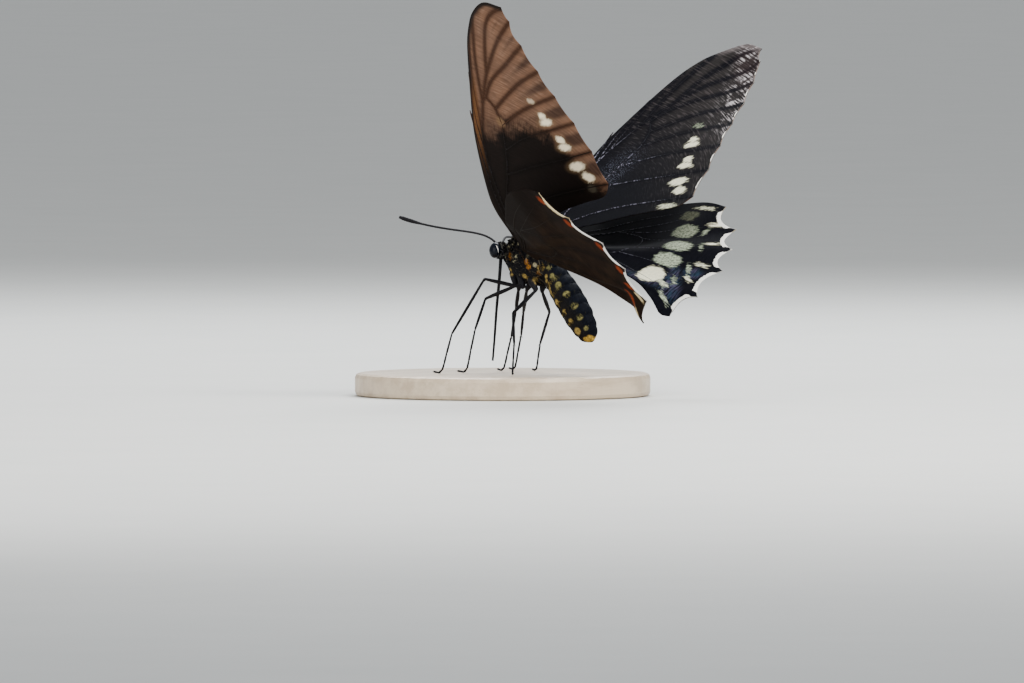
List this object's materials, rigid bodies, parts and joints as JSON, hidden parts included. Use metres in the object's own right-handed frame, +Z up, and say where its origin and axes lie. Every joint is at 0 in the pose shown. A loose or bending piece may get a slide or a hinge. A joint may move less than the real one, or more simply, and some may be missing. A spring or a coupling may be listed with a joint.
{
  "type": "west mexican swallowtail butterfly on a display base",
  "caption": "Life-size model of a dark swallowtail butterfly standing on a flat round base, wings raised in a V.",
  "frame": {"origin": "centre of the display base's underside, which lies on the surface the model stands on", "axes": "+Z up; the butterfly heads towards -Y, and its left side is towards +X"},
  "size_m": [0.0695, 0.0639, 0.0699],
  "materials": {
    "body": "furry black with yellow and orange spots",
    "wing": "scaled, black-brown with cream spots",
    "limb": "satin black",
    "eye": "glossy blue-black",
    "base": "satin pale wood"
  },
  "bodies": {
    "root": {"stand_base": "base", "thorax": "body", "abdomen": "body", "head": "body", "eye_left": "eye", "eye_right": "eye", "antenna_left": "limb", "antenna_right": "limb", "proboscis": "limb", "forewing_left": "wing", "forewing_right": "wing", "hindwing_left": "wing", "hindwing_right": "wing", "leg_left_front": "limb", "leg_left_middle": "limb", "leg_left_hind": "limb", "leg_right_front": "limb", "leg_right_middle": "limb", "leg_right_hind": "limb"}
  },
  "joints": []
}
